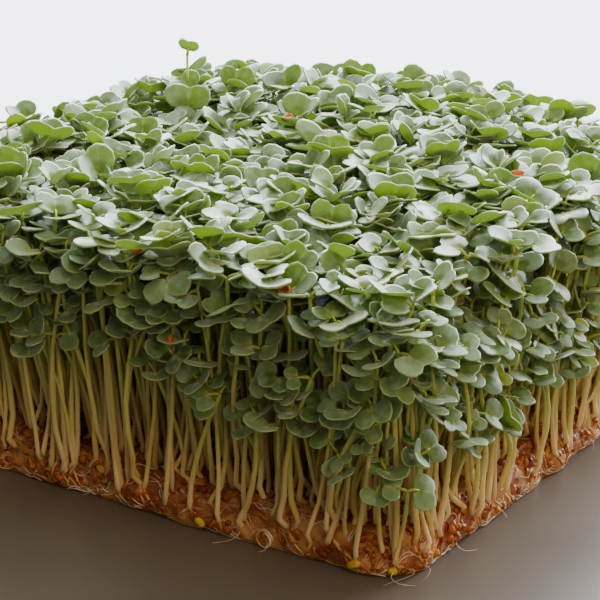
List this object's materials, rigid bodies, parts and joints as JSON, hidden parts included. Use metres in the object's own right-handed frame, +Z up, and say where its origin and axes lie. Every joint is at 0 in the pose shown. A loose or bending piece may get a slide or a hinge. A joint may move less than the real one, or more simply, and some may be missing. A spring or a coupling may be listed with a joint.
{
  "type": "microgreens block",
  "caption": "Square block of brassica microgreens standing on its felted root mat: seed bed, pale stems and a leafy canopy of notched seed leaves.",
  "frame": {"origin": "under the middle of the block, on the surface that the root mat rests on", "axes": "+Z up, the way the sprouts grow; +Y along the longer side of the block, +X along the shorter side"},
  "size_m": [0.166, 0.1709, 0.0805],
  "materials": {
    "root_felt": "matted fine roots, matt and fibrous",
    "seed_hulls": "thin dry seed coats, slightly glossy",
    "sprouts": "living leaf with a waxy bloom on pale, slightly clear stems"
  },
  "bodies": {
    "root": {"root_mat": "root_felt", "seed_bed": "seed_hulls", "sprouts_01": "sprouts", "sprouts_02": "sprouts", "sprouts_03": "sprouts", "sprouts_04": "sprouts", "sprouts_05": "sprouts", "sprouts_06": "sprouts", "sprouts_07": "sprouts", "sprouts_08": "sprouts", "sprouts_09": "sprouts", "sprouts_10": "sprouts", "sprouts_11": "sprouts", "sprouts_12": "sprouts", "sprouts_13": "sprouts", "sprouts_14": "sprouts", "sprouts_15": "sprouts", "sprouts_16": "sprouts", "sprouts_17": "sprouts", "sprouts_18": "sprouts", "sprouts_19": "sprouts", "sprouts_20": "sprouts", "sprouts_21": "sprouts", "sprouts_22": "sprouts", "sprouts_23": "sprouts", "sprouts_24": "sprouts", "sprouts_25": "sprouts", "sprouts_26": "sprouts", "sprouts_27": "sprouts", "sprouts_28": "sprouts", "sprouts_29": "sprouts", "sprouts_30": "sprouts", "sprouts_31": "sprouts", "sprouts_32": "sprouts", "sprouts_33": "sprouts", "sprouts_34": "sprouts", "sprouts_35": "sprouts", "sprouts_36": "sprouts"}
  },
  "joints": []
}
